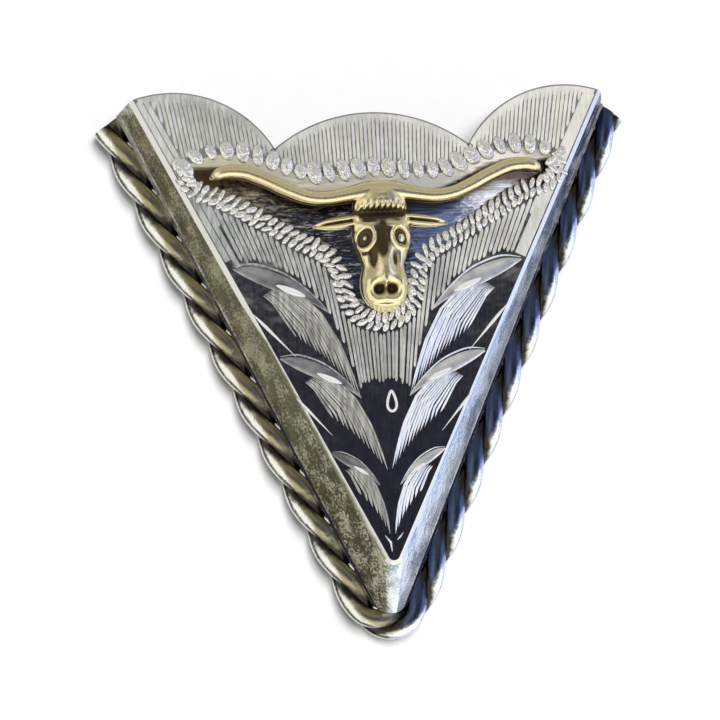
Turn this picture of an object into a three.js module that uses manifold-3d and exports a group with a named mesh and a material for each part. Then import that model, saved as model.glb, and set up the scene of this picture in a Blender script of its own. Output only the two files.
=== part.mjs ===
// Western collar tip in silver-coloured metal with a gold-coloured longhorn head.
// Millimetres, +Z up. The tip lies on its back: +Z points out of the engraved face,
// the point is toward -Y and the scalloped edge toward +Y. The origin is on the
// surface it lies on, under the middle of its outline.

import * as THREE from 'three';
import { mergeVertices } from 'three/addons/utils/BufferGeometryUtils.js';
import Module from 'manifold-3d';

const wasm = await Module();
wasm.setup();

// Driving dimensions

const LENGTH = 41.3;              // scalloped edge to point, over the rope
const TOP_Y = LENGTH / 2;
const ROPE_DIAMETER = 2.35;       // two strands twisted together
const ROPE_OVERLAP = 0.3;         // solder between the rope and the skirt
const ROPE_HALF_ANGLE = THREE.MathUtils.degToRad(25);
const ROPE_TIP_RADIUS = 3.7;      // outer edge of the rope round the point
const STRAND_RADIUS = 0.75;       // the two strands bite into each other along the middle
const STRAND_PITCH = 7.95;
const STRAND_PHASE = -0.2;
const STRAND_SIDES = 8;
const STRAND_STEPS_PER_TURN = 14;

const FACE_Z = 4.5;               // top of the flat engraved face
const SHEET = 0.8;                // thickness of the formed front
const SKIRT_TOP_Z = 1.9;         // lip above the rope, where the bevel begins
const LIP = 0.2;                  // width of that lip
const RIDGE_HALF_ANGLE = THREE.MathUtils.degToRad(26.57);
const RIDGE_APEX_Y = -15.2;       // where the two ridges would meet if sharp
const RIDGE_TIP_RADIUS = 0.45;
const FACET = 0.35;               // polished facet between bevel and face
const SHARP_RADIUS = 0.25;        // smallest rounding of an outline's point
const FACE_MARGIN = 0.15;         // plain edge kept free of cuts inside the ridge
const END_CUT_ANGLE = THREE.MathUtils.degToRad(35);

const CUSP_X = 7.35;              // the scalloped edge: a middle lobe and two side lobes
const CUSP_Y = TOP_Y - 4.35;
const MIDDLE_LOBE_Y = TOP_Y - 1.8;
const SIDE_LOBE_X = 14.9;
const LOBE_STEPS = 12;

const CLEARANCE = 0.1;            // between pieces that are fitted together
const BACK_Z = 0.6;               // outer face of the back plate
const BACK_THICKNESS = 0.9;
const BACK_TOP_Y = 15.6;          // straight mouth edge of the back plate
const SCREW_Y = 3;
const SCREW_SHANK = 2.9;
const SCREW_HEAD = 4.6;
const SCREW_HEAD_HEIGHT = 0.35;
const SCREW_SINK = 0.35;          // depth of the sink that the screw head sits in
const SCREW_LENGTH = 1.9;

const CUT_RELIEF = 0.14;          // height of the engraved blades over the face
const PETAL_RELIEF = 0.24;
const BEAD_RELIEF = 0.32;
const BEAD_PITCH = 0.95;
const BLADES_PER_FAN = 7;
const ROOT = 0.15;                // how far a relief is sunk into what carries it

const HEAD_BASE_Z = FACE_Z + CLEARANCE;
const HEAD_OFFSET_X = 0.3;        // the head sits a little off the middle line

// Solids from closed meshes

function toSolid(geometry) {
  const bare = geometry.clone();
  for (const name of Object.keys(bare.attributes)) {
    if (name !== 'position') bare.deleteAttribute(name);
  }
  const merged = mergeVertices(bare, 1e-4);
  return new wasm.Manifold(new wasm.Mesh({
    numProp: 3,
    vertProperties: new Float32Array(merged.attributes.position.array),
    triVerts: new Uint32Array(merged.index.array),
  }));
}

function toGeometry(solid) {
  const mesh = solid.getMesh();
  const geometry = new THREE.BufferGeometry();
  geometry.setAttribute('position', new THREE.BufferAttribute(mesh.vertProperties, 3));
  geometry.setIndex(new THREE.BufferAttribute(mesh.triVerts, 1));
  geometry.computeVertexNormals();
  return geometry;
}

function join(solids) {
  return solids.reduce((whole, piece) => whole.add(piece));
}

// A closed skin through rings with the same number of points, capped flat at both ends.
// The rings run counter-clockwise as seen from the last one.
function loft(rings) {
  const count = rings[0].length;
  const positions = rings.flat().flatMap((p) => [p.x, p.y, p.z]);
  const index = [];
  for (let r = 0; r + 1 < rings.length; r += 1) {
    for (let i = 0; i < count; i += 1) {
      const a = r * count + i;
      const b = r * count + ((i + 1) % count);
      index.push(a, b, b + count, a, b + count, a + count);
    }
  }
  const cap = (ring, flat) => THREE.ShapeUtils.triangulateShape(ring.map(flat), []);
  const last = (rings.length - 1) * count;
  const first = rings[0];
  const end = rings[rings.length - 1];
  for (const [a, b, c] of cap(first, flatten(first))) index.push(c, b, a);
  for (const [a, b, c] of cap(end, flatten(end))) index.push(last + a, last + b, last + c);
  const geometry = new THREE.BufferGeometry();
  geometry.setAttribute('position', new THREE.Float32BufferAttribute(positions, 3));
  geometry.setIndex(index);
  return geometry;
}

// Maps the points of a flat ring to two coordinates in its own plane.
function flatten(ring) {
  const normal = new THREE.Vector3();
  ring.forEach((p, i) => normal.add(p.clone().cross(ring[(i + 1) % ring.length])));
  normal.normalize();
  const across = ring[1].clone().sub(ring[0]).projectOnPlane(normal).normalize();
  const along = normal.clone().cross(across);
  return (p) => new THREE.Vector2(p.dot(across), p.dot(along));
}

// Plan outlines

// A wedge is an open outline: down the left side, round the point, up the right side.
const ropeEdge = {
  halfAngle: ROPE_HALF_ANGLE,
  radius: ROPE_TIP_RADIUS,
  apexY: -TOP_Y + ROPE_TIP_RADIUS * (1 - 1 / Math.sin(ROPE_HALF_ANGLE)),
};
const ridge = {
  halfAngle: RIDGE_HALF_ANGLE,
  radius: RIDGE_TIP_RADIUS,
  apexY: RIDGE_APEX_Y,
};

function inset(wedge, distance) {
  return {
    halfAngle: wedge.halfAngle,
    radius: Math.max(wedge.radius - distance, SHARP_RADIUS),
    apexY: wedge.apexY + distance / Math.sin(wedge.halfAngle),
  };
}

function wedgePath(wedge, topY) {
  const centreY = wedge.apexY + wedge.radius / Math.sin(wedge.halfAngle);
  const topX = (topY - wedge.apexY) * Math.tan(wedge.halfAngle);
  const arc = new THREE.EllipseCurve(
    0, centreY, wedge.radius, wedge.radius, Math.PI + wedge.halfAngle, -wedge.halfAngle, false,
  );
  const path = new THREE.CurvePath();
  path.add(new THREE.LineCurve(new THREE.Vector2(-topX, topY), arc.getPoint(0)));
  path.add(arc);
  path.add(new THREE.LineCurve(arc.getPoint(1), new THREE.Vector2(topX, topY)));
  return path;
}

function wedgeRing(wedge, topY, z, sideSteps = 6, arcSteps = 10) {
  const path = wedgePath(wedge, topY);
  const points = [];
  path.curves.forEach((curve, i) => {
    const steps = i === 1 ? arcSteps : sideSteps;
    for (let k = i === 0 ? 0 : 1; k <= steps; k += 1) points.push(curve.getPoint(k / steps));
  });
  return points.map((p) => new THREE.Vector3(p.x, p.y, z));
}

const foot = inset(ropeEdge, ROPE_DIAMETER - ROPE_OVERLAP);

// The scalloped edge from the right corner to the left one, as circular lobes.
function lobe(topX, topY, cuspX, cuspY) {
  const run = Math.abs(cuspX - topX);
  const drop = topY - cuspY;
  const radius = (run * run + drop * drop) / (2 * drop);
  return (x) => topY - radius + Math.sqrt(radius * radius - (x - topX) ** 2);
}

const middleLobe = lobe(0, MIDDLE_LOBE_Y, CUSP_X, CUSP_Y);
const sideLobe = lobe(SIDE_LOBE_X, TOP_Y, CUSP_X, CUSP_Y);

// The corner is where the side lobe meets the ridge line.
function cornerX() {
  let x = SIDE_LOBE_X;
  for (let i = 0; i < 40; i += 1) x = (sideLobe(x) - RIDGE_APEX_Y) * Math.tan(RIDGE_HALF_ANGLE);
  return x;
}

const CORNER_X = cornerX();

function scallop() {
  const half = [];
  for (let i = 0; i <= LOBE_STEPS; i += 1) {
    const x = CORNER_X + (CUSP_X - CORNER_X) * (i / LOBE_STEPS);
    half.push(new THREE.Vector2(x, sideLobe(x)));
  }
  for (let i = 1; i <= LOBE_STEPS; i += 1) {
    const x = CUSP_X * (1 - i / LOBE_STEPS);
    half.push(new THREE.Vector2(x, middleLobe(x)));
  }
  const mirrored = half.slice(0, -1).reverse().map((p) => new THREE.Vector2(-p.x, p.y));
  return [...half, ...mirrored];
}

// The plan that trims the front: the scallops, then slanting cuts across wall and rope ends.
function planTrim() {
  const edge = scallop();
  const corner = edge[0];
  const reach = 8;
  const cutX = corner.x + reach * Math.cos(END_CUT_ANGLE);
  const cutY = corner.y - reach * Math.sin(END_CUT_ANGLE);
  const outline = [
    ...edge,
    new THREE.Vector2(-cutX, cutY),
    new THREE.Vector2(-cutX, -LENGTH),
    new THREE.Vector2(cutX, -LENGTH),
    new THREE.Vector2(cutX, cutY),
  ];
  const options = { depth: 2 * FACE_Z, bevelEnabled: false, curveSegments: 1 };
  const geometry = new THREE.ExtrudeGeometry(new THREE.Shape(outline), options);
  geometry.translate(0, 0, -FACE_Z / 2);
  return toSolid(geometry);
}

// Formed front: skirt, lip, bevelled wall, facet and flat face, hollow and open at the scallops

function frontSheet() {
  const long = TOP_Y + 4;
  // The two bevels meet in a sharp mitre, which the rounded foot cuts off at the point.
  const sharpFoot = { ...foot, radius: SHARP_RADIUS };
  const bevels = toSolid(loft([
    wedgeRing(sharpFoot, long, BACK_Z),
    wedgeRing(sharpFoot, long, SKIRT_TOP_Z),
    wedgeRing(inset(sharpFoot, LIP), long, SKIRT_TOP_Z),
    wedgeRing(inset(ridge, -FACET), long, FACE_Z - FACET),
    wedgeRing(ridge, long, FACE_Z),
  ]));
  const rounded = toSolid(loft([
    wedgeRing(foot, long + 1, 0),
    wedgeRing(foot, long + 1, FACE_Z + 1),
  ]));
  const outer = bevels.intersect(rounded);
  const pocketTop = FACE_Z - SHEET;
  const cavity = toSolid(loft([
    wedgeRing(inset(foot, SHEET), long + 2, -1),
    wedgeRing(inset(foot, SHEET), long + 2, SKIRT_TOP_Z - LIP),
    wedgeRing(inset(ridge, SHEET / 2), long + 2, pocketTop),
  ]));
  return outer.intersect(planTrim()).subtract(cavity);
}

// Twisted rope edging: two strands round one centre line, from corner to corner

function strand(phase) {
  const wedge = inset(ropeEdge, ROPE_DIAMETER / 2);
  const path = wedgePath(wedge, TOP_Y + 2);
  const length = path.getLength();
  const coil = ROPE_DIAMETER / 2 - STRAND_RADIUS;
  const steps = Math.round((length / STRAND_PITCH) * STRAND_STEPS_PER_TURN);
  const points = [];
  for (let i = 0; i <= steps; i += 1) {
    const u = i / steps;
    const centre = path.getPointAt(u);
    const forward = path.getTangentAt(u);
    const turn = (2 * Math.PI * u * length) / STRAND_PITCH + phase;
    const side = coil * Math.cos(turn);
    points.push(new THREE.Vector3(
      centre.x + forward.y * side,
      centre.y - forward.x * side,
      ROPE_DIAMETER / 2 + coil * Math.sin(turn),
    ));
  }
  const section = new THREE.Shape();
  for (let i = 0; i < STRAND_SIDES; i += 1) {
    const angle = (2 * Math.PI * (i + 0.5)) / STRAND_SIDES;
    const x = STRAND_RADIUS * Math.cos(angle);
    const y = STRAND_RADIUS * Math.sin(angle);
    if (i === 0) section.moveTo(x, y);
    else section.lineTo(x, y);
  }
  section.closePath();
  const extrudePath = new THREE.CatmullRomCurve3(points);
  return toSolid(new THREE.ExtrudeGeometry(section, { steps, extrudePath, curveSegments: 1 }));
}

function ropeEdging() {
  return strand(STRAND_PHASE).add(strand(STRAND_PHASE + Math.PI)).intersect(planTrim());
}

// Relief laid along a path in plan: each row has a centre, a half width and a height.
// The section is a low arch with a flat underside.
function relief(rows, baseZ, sides) {
  const rings = rows.map((row, i) => {
    const before = rows[Math.max(i - 1, 0)];
    const after = rows[Math.min(i + 1, rows.length - 1)];
    const forward = new THREE.Vector2(after.x - before.x, after.y - before.y).normalize();
    const ring = [];
    for (let k = 0; k <= sides; k += 1) {
      const angle = (Math.PI * k) / sides;
      const off = row.half * Math.cos(angle);
      const up = k === 0 || k === sides ? 0 : row.height * Math.sin(angle);
      ring.push(new THREE.Vector3(row.x + forward.y * off, row.y - forward.x * off, baseZ + up));
    }
    return ring.reverse();
  });
  return toSolid(loft(rings));
}

const mirrorX = (rows) => rows.map((row) => ({ ...row, x: -row.x }));

// Leaf cuts on the face

// A leaf in shares of its own length: along it from the outer tip, and off toward the middle.
const LEAF_SPINE = [
  { along: 0.00, off: 0.00 },
  { along: 0.12, off: 0.12 },
  { along: 0.30, off: 0.19 },
  { along: 0.52, off: 0.20 },
  { along: 0.72, off: 0.14 },
  { along: 0.87, off: 0.07 },
  { along: 1.00, off: 0.00 },
];
const PETAL = [
  { along: 0.01, off: 0.00, half: 0.008 },
  { along: 0.10, off: 0.050, half: 0.050 },
  { along: 0.20, off: 0.100, half: 0.058 },
  { along: 0.32, off: 0.155, half: 0.038 },
  { along: 0.44, off: 0.190, half: 0.016 },
  { along: 0.54, off: 0.200, half: 0.004 },
];
const LEAVES = [
  { outerX: 11.1, outerY: 7.6, innerX: 1.9, innerY: -2.3 },
  { outerX: 8.1, outerY: 0.8, innerX: 0.2, innerY: -7.9 },
  { outerX: 4.9, outerY: -6.4, innerX: 0.2, innerY: -12.7 },
];

function leafPoint(leaf, along, off) {
  const run = new THREE.Vector2(leaf.innerX - leaf.outerX, leaf.innerY - leaf.outerY);
  const toMiddle = new THREE.Vector2(run.y, -run.x);
  return {
    x: leaf.outerX + run.x * along + toMiddle.x * off,
    y: leaf.outerY + run.y * along + toMiddle.y * off,
    size: run.length(),
  };
}

function spineOff(along) {
  const i = Math.max(1, LEAF_SPINE.findIndex((row) => row.along >= along));
  const a = LEAF_SPINE[i - 1];
  const b = LEAF_SPINE[i];
  return a.off + ((b.off - a.off) * (along - a.along)) / (b.along - a.along);
}

// Blade number 0 follows the upper edge of the leaf to its inner tip, the last is the shortest.
function fanBlade(leaf, share) {
  const start = 0.26 - 0.02 * share;
  const end = THREE.MathUtils.lerp(1.0, 0.58, share);
  const rows = [];
  for (let k = 0; k <= 3; k += 1) {
    const t = k / 3;
    const along = THREE.MathUtils.lerp(start, end, t);
    const drop = share * THREE.MathUtils.lerp(0.1, 0.2, t) + 0.04 * (1 - t);
    const point = leafPoint(leaf, along, spineOff(along) - drop);
    const half = point.size * 0.013 * (k === 3 ? 0.15 : 1);
    rows.push({ x: point.x, y: point.y, half, height: ROOT + CUT_RELIEF });
  }
  return rows;
}

function leafCuts(leaf) {
  const shapes = [PETAL.map((row) => {
    const point = leafPoint(leaf, row.along, row.off);
    const height = ROOT + PETAL_RELIEF * Math.min(1, row.half / 0.03);
    return { x: point.x, y: point.y, half: row.half * point.size, height };
  })];
  for (let i = 0; i < BLADES_PER_FAN; i += 1) shapes.push(fanBlade(leaf, i / (BLADES_PER_FAN - 1)));
  const ends = [{ along: 0.24, half: 0.02 }, { along: 0.42, half: 0.012 }, { along: 0.61, half: 0.002 }];
  shapes.push(ends.map((row) => {
    const point = leafPoint(leaf, row.along, -0.1);
    return { x: point.x, y: point.y, half: row.half * point.size, height: ROOT + CUT_RELIEF };
  }));
  return shapes;
}

function drop() {
  return [
    { x: 0, y: -1.9, half: 0.12, height: ROOT + CUT_RELIEF },
    { x: 0, y: -2.7, half: 0.38, height: ROOT + PETAL_RELIEF },
    { x: 0, y: -3.4, half: 0.45, height: ROOT + PETAL_RELIEF },
    { x: 0, y: -3.9, half: 0.2, height: ROOT + CUT_RELIEF },
  ];
}

// Beaded border round the longhorn, half of it; the other half mirrors it
const BORDER = [
  { x: 0, y: 14.4 },
  { x: 2.5, y: 14.2 },
  { x: 5.0, y: 14.1 },
  { x: 7.0, y: 14.8 },
  { x: 8.7, y: 15.5 },
  { x: 10.5, y: 15.9 },
  { x: 12.3, y: 15.8 },
  { x: 13.8, y: 15.2 },
  { x: 14.3, y: 14.3 },
  { x: 13.6, y: 13.3 },
  { x: 12.0, y: 12.7 },
  { x: 10.2, y: 11.8 },
  { x: 8.2, y: 10.6 },
  { x: 6.0, y: 9.3 },
  { x: 4.3, y: 8.4 },
  { x: 3.3, y: 7.3 },
  { x: 2.9, y: 6.0 },
  { x: 2.6, y: 4.7 },
  { x: 1.6, y: 3.5 },
  { x: 0, y: 3.0 },
];

function borderBeads() {
  const half = BORDER.map((row) => new THREE.Vector3(row.x, row.y, 0));
  const other = half.slice(1, -1).reverse().map((p) => new THREE.Vector3(-p.x, p.y, 0));
  const curve = new THREE.CatmullRomCurve3([...half, ...other], true);
  const count = Math.round(curve.getLength() / BEAD_PITCH);
  const beads = [];
  for (let i = 0; i < count; i += 1) {
    const at = curve.getPointAt(i / count);
    const forward = curve.getTangentAt(i / count);
    const across = new THREE.Vector3(forward.y, -forward.x, 0).addScaledVector(forward, 0.5).normalize();
    beads.push([-0.6, 0, 0.6].map((step) => ({
      x: at.x + across.x * step,
      y: at.y + across.y * step,
      half: step === 0 ? 0.36 : 0.14,
      height: ROOT + (step === 0 ? BEAD_RELIEF : BEAD_RELIEF / 3),
    })));
  }
  return beads;
}

function faceRelief() {
  const leaves = LEAVES.flatMap(leafCuts);
  const cuts = [...leaves, ...leaves.map(mirrorX), drop()].map((rows) => relief(rows, FACE_Z - ROOT, 2));
  const beads = borderBeads().map((rows) => relief(rows, FACE_Z - ROOT, 3));
  const within = inset(ridge, FACE_MARGIN);
  const area = toSolid(loft([
    wedgeRing(within, TOP_Y, FACE_Z - SHEET / 2),
    wedgeRing(within, TOP_Y, FACE_Z + SHEET),
  ]));
  return join([...cuts, ...beads]).intersect(area);
}

// Cast longhorn head

const HORN = [
  { x: 0.3, y: 12.85, half: 0.75, height: 1.05 },
  { x: 2.2, y: 12.65, half: 0.60, height: 0.95 },
  { x: 4.0, y: 12.40, half: 0.55, height: 0.90 },
  { x: 5.5, y: 12.55, half: 0.54, height: 0.88 },
  { x: 7.0, y: 13.15, half: 0.56, height: 0.85 },
  { x: 8.5, y: 13.90, half: 0.57, height: 0.82 },
  { x: 10.0, y: 14.50, half: 0.57, height: 0.80 },
  { x: 11.3, y: 14.60, half: 0.52, height: 0.75 },
  { x: 12.1, y: 14.40, half: 0.42, height: 0.60 },
  { x: 12.5, y: 14.15, half: 0.18, height: 0.30 },
];
const SKULL = [
  { x: 0, y: 12.9, half: 1.0, height: 0.7 },
  { x: 0, y: 12.2, half: 1.9, height: 1.05 },
  { x: 0, y: 11.2, half: 2.15, height: 1.25 },
  { x: 0, y: 10.2, half: 2.25, height: 1.25 },
  { x: 0, y: 9.2, half: 2.2, height: 1.2 },
  { x: 0, y: 8.2, half: 1.95, height: 1.2 },
  { x: 0, y: 7.2, half: 1.62, height: 1.25 },
  { x: 0, y: 6.2, half: 1.8, height: 1.35 },
  { x: 0, y: 5.2, half: 1.75, height: 1.2 },
  { x: 0, y: 4.4, half: 1.35, height: 0.85 },
  { x: 0, y: 3.8, half: 0.6, height: 0.4 },
];
const EAR = [
  { x: 1.6, y: 10.75, half: 0.4, height: 0.8 },
  { x: 2.8, y: 10.6, half: 0.52, height: 0.7 },
  { x: 4.0, y: 10.45, half: 0.42, height: 0.55 },
  { x: 5.1, y: 10.3, half: 0.12, height: 0.3 },
];
const EYE = { x: 1.38, y: 9.25, ring: 0.7, wire: 0.2, z: 0.95 };
const NOSTRIL = { x: 0.5, y: 5.4, radius: 0.5, z: 1.2 };
const TUFT = [
  { x: -1.35, y: 11.3, lean: -0.25 },
  { x: -0.7, y: 11.1, lean: -0.1 },
  { x: 0, y: 11.0, lean: 0 },
  { x: 0.7, y: 11.1, lean: 0.1 },
  { x: 1.35, y: 11.3, lean: 0.25 },
];

function placed(geometry, x, y, z) {
  return toSolid(geometry.translate(x, y, HEAD_BASE_Z + z));
}

function longhornHead() {
  const arches = [relief(SKULL, HEAD_BASE_Z, 10)];
  for (const rows of [HORN, mirrorX(HORN)]) arches.push(relief(rows, HEAD_BASE_Z, 8));
  for (const rows of [EAR, mirrorX(EAR)]) arches.push(relief(rows, HEAD_BASE_Z, 6));
  for (const lock of TUFT) {
    arches.push(relief([
      { x: lock.x, y: lock.y + 1.0, half: 0.34, height: 1.3 },
      { x: lock.x + lock.lean, y: lock.y, half: 0.3, height: 1.42 },
      { x: lock.x + 2 * lock.lean, y: lock.y - 0.9, half: 0.05, height: 1.15 },
    ], HEAD_BASE_Z, 4));
  }
  let head = join(arches);
  for (const side of [-1, 1]) {
    const ring = new THREE.TorusGeometry(EYE.ring, EYE.wire, 6, 16);
    const ball = new THREE.SphereGeometry(0.34, 10, 6);
    const lid = placed(ring, side * EYE.x, EYE.y, EYE.z);
    head = head.add(lid).add(placed(ball, side * EYE.x, EYE.y, EYE.z - 0.05));
    const hollow = new THREE.SphereGeometry(NOSTRIL.radius, 10, 6);
    head = head.subtract(placed(hollow, side * NOSTRIL.x, NOSTRIL.y, NOSTRIL.z));
  }
  return head.translate([HEAD_OFFSET_X, 0, 0]);
}

// Back plate, sunk between the skirts, with a sink and a hole for the screw

function disc(radius, height, x, y, z, segments = 32) {
  const geometry = new THREE.CylinderGeometry(radius, radius, height, segments);
  geometry.rotateX(Math.PI / 2).translate(x, y, z + height / 2);
  return toSolid(geometry);
}

function backPlate() {
  const outline = inset(foot, SHEET + CLEARANCE);
  const slab = toSolid(loft([
    wedgeRing(outline, BACK_TOP_Y, BACK_Z, 1),
    wedgeRing(outline, BACK_TOP_Y, BACK_Z + BACK_THICKNESS, 1),
  ]));
  const hole = disc(SCREW_SHANK / 2 + CLEARANCE, 4 * BACK_THICKNESS, 0, SCREW_Y, -BACK_THICKNESS);
  const sink = disc(SCREW_HEAD / 2 + 3 * CLEARANCE, 2 * SCREW_SINK, 0, SCREW_Y, BACK_Z - SCREW_SINK);
  return slab.subtract(hole).subtract(sink);
}

function clampScrew() {
  const headZ = BACK_Z + SCREW_SINK - CLEARANCE - SCREW_HEAD_HEIGHT;
  const head = disc(SCREW_HEAD / 2, SCREW_HEAD_HEIGHT, 0, SCREW_Y, headZ);
  return head.add(disc(SCREW_SHANK / 2, SCREW_LENGTH, 0, SCREW_Y, headZ));
}

// Assembly

const silver = new THREE.MeshStandardMaterial({ color: 0xc9ccd0, roughness: 0.18, metalness: 1 });
const gold = new THREE.MeshStandardMaterial({ color: 0xd8b45c, roughness: 0.22, metalness: 1 });
const steel = new THREE.MeshStandardMaterial({ color: 0x9a9da2, roughness: 0.35, metalness: 1 });

function piece(name, solid, material) {
  const mesh = new THREE.Mesh(toGeometry(solid), material);
  mesh.name = name;
  return mesh;
}

const collarTip = new THREE.Group();
collarTip.add(
  piece('front_shell', join([frontSheet(), ropeEdging(), faceRelief()]), silver),
  piece('longhorn_head', longhornHead(), gold),
  piece('back_plate', backPlate(), silver),
  piece('clamp_screw', clampScrew(), steel),
);

export default collarTip;
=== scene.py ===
import math

import bmesh
import bpy
import numpy as np
from mathutils import Matrix, Vector


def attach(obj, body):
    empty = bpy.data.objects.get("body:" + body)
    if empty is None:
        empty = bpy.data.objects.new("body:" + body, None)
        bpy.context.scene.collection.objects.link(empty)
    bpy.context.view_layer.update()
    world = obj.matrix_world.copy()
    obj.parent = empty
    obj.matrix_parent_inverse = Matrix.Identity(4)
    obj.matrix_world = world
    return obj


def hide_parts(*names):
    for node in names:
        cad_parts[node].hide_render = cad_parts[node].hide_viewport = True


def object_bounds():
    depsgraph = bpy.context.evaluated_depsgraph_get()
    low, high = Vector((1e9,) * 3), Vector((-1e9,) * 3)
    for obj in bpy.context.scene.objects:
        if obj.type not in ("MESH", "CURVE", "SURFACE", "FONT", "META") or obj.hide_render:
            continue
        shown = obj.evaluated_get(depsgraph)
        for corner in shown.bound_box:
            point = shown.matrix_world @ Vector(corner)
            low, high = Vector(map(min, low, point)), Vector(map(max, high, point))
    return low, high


# A Western collar tip: an engraved silver-coloured point with a twisted rope edge and a
# gold-coloured longhorn head. Sizes are in millimetres and the frame is in metres.
MM = 0.001

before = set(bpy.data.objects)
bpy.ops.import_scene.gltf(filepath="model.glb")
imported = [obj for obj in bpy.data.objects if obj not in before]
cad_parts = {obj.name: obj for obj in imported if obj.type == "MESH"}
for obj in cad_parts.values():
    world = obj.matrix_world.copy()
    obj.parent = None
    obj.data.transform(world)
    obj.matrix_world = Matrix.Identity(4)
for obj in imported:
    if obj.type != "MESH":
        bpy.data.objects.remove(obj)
cad_box = [list(corner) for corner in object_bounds()]

# Camera: above the face, to the left of it and a little toward the point, as photographed.
# It is turned about its line of sight until the scalloped edge leans as it does there.
AIM = Vector((-1.36, 0.46, 2.0))
DISTANCE = 170.0
TOWARD_CAMERA = Vector((-0.17, -0.065, 1.0)).normalized()
ROLL = math.radians(-3.05)

right = Vector((0, 1, 0)).cross(TOWARD_CAMERA).normalized()
axes = Matrix((right, TOWARD_CAMERA.cross(right), TOWARD_CAMERA)).transposed()
lens = bpy.data.cameras.new("camera")
lens.lens = 112.8
lens.clip_start = 0.005
lens.clip_end = 20.0
camera = bpy.data.objects.new("camera", lens)
camera.matrix_world = Matrix.Translation((AIM + DISTANCE * TOWARD_CAMERA) * MM) @ (
    axes @ Matrix.Rotation(ROLL, 3, "Z")
).to_4x4()
bpy.context.scene.collection.objects.link(camera)
bpy.context.scene.camera = camera

# Front shell: one formed sheet of silver-coloured metal with a flat face, a polished facet
# round it, a matted bevel, a lip and a skirt. It is hollow, and open at the scalloped edge.
TOP_Y = 20.645
FACE_Z = 4.5
FACET = 0.35
LIP = 0.2
SKIRT_TOP_Z = 1.9
SKIRT_BOTTOM_Z = 0.6
SHEET = 0.8
POCKET_SIDE_Z = 1.7
ROPE_DIAMETER = 2.35
ROPE_OVERLAP = 0.3
ROPE_HALF_ANGLE = math.radians(25)
ROPE_TIP_RADIUS = 3.7
ROPE_APEX_Y = -25.705
RIDGE_HALF_ANGLE = math.radians(26.57)
RIDGE_TIP_RADIUS = 0.45
RIDGE_APEX_Y = -15.2
SHARPEST = 0.25
CUSP_X, CUSP_Y = 7.35, 16.3
MIDDLE_LOBE_Y = 18.85
SIDE_LOBE_X = 14.9
CORNER_X = 17.85
CUT_SLOPE = math.tan(math.radians(35))


class Wedge:
    """An outline in plan: down the left side, round the point and up the right side."""

    def __init__(self, half_angle, radius, apex_y):
        self.half_angle = half_angle
        self.radius = radius
        self.apex_y = apex_y
        self.centre_y = apex_y + radius / math.sin(half_angle)

    def inset(self, distance):
        apex_y = self.apex_y + distance / math.sin(self.half_angle)
        return Wedge(self.half_angle, max(self.radius - distance, SHARPEST), apex_y)

    def side_x(self, y):
        return (y - self.apex_y) * math.tan(self.half_angle)

    def lengths(self, top_y):
        """Length of one straight side and of the arc round the point."""
        end_y = self.centre_y - self.radius * math.sin(self.half_angle)
        return (
            (top_y - end_y) / math.cos(self.half_angle),
            self.radius * (math.pi - 2 * self.half_angle),
        )

    def at(self, distance, top_y):
        """Place and heading at a distance along the outline from its left top end."""
        side, arc = self.lengths(top_y)
        sine, cosine = math.sin(self.half_angle), math.cos(self.half_angle)
        if distance < side:
            x = -self.side_x(top_y) + distance * sine
            return (x, top_y - distance * cosine), (sine, -cosine)
        if distance < side + arc:
            angle = math.pi + self.half_angle + (distance - side) / self.radius
            away = (math.cos(angle), math.sin(angle))
            place = (self.radius * away[0], self.centre_y + self.radius * away[1])
            return place, (-away[1], away[0])
        up = distance - side - arc
        x = self.radius * cosine + up * sine
        y = self.centre_y - self.radius * sine + up * cosine
        return (x, y), (sine, cosine)

    def ring(self, top_y, z, side_steps=10, arc_steps=20):
        side, arc = self.lengths(top_y)
        stops = [side * i / side_steps for i in range(side_steps)]
        stops += [side + arc * i / arc_steps for i in range(arc_steps)]
        stops += [side + arc + side * i / side_steps for i in range(side_steps + 1)]
        return [(*self.at(stop, top_y)[0], z) for stop in stops]


class Shapes:
    """Collects closed shapes, in millimetres, into one mesh."""

    def __init__(self):
        self.vertices = []
        self.faces = []

    def skin(self, rings):
        """A skin through rings of points, capped at both ends."""
        first = len(self.vertices)
        count = len(rings[0])
        for ring in rings:
            self.vertices.extend(ring)
        for r in range(len(rings) - 1):
            for i in range(count):
                a = first + r * count + i
                b = first + r * count + (i + 1) % count
                self.faces.append((a, b, b + count, a + count))
        last = first + (len(rings) - 1) * count
        self.faces.append(tuple(range(first + count - 1, first - 1, -1)))
        self.faces.append(tuple(range(last, last + count)))

    def make(self, name, smooth_angle=35):
        mesh = bpy.data.meshes.new(name)
        mesh.from_pydata([[c * MM for c in v] for v in self.vertices], [], self.faces)
        made = bpy.data.objects.new(name, mesh)
        bpy.context.scene.collection.objects.link(made)
        shade(made, smooth_angle)
        return made


def shade(made, smooth_angle):
    """Turns the faces outward and shades them smooth, except across sharp edges."""
    bm = bmesh.new()
    bm.from_mesh(made.data)
    bmesh.ops.recalc_face_normals(bm, faces=bm.faces)
    for face in bm.faces:
        face.smooth = True
    for edge in bm.edges:
        edge.smooth = edge.calc_face_angle(0.0) < math.radians(smooth_angle)
    bm.to_mesh(made.data)
    bm.free()


def bake(made):
    """Puts the result of the modifiers into the mesh and takes the modifiers away."""
    evaluated = made.evaluated_get(bpy.context.evaluated_depsgraph_get())
    mesh = bpy.data.meshes.new_from_object(evaluated)
    made.modifiers.clear()
    made.data = mesh


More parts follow.
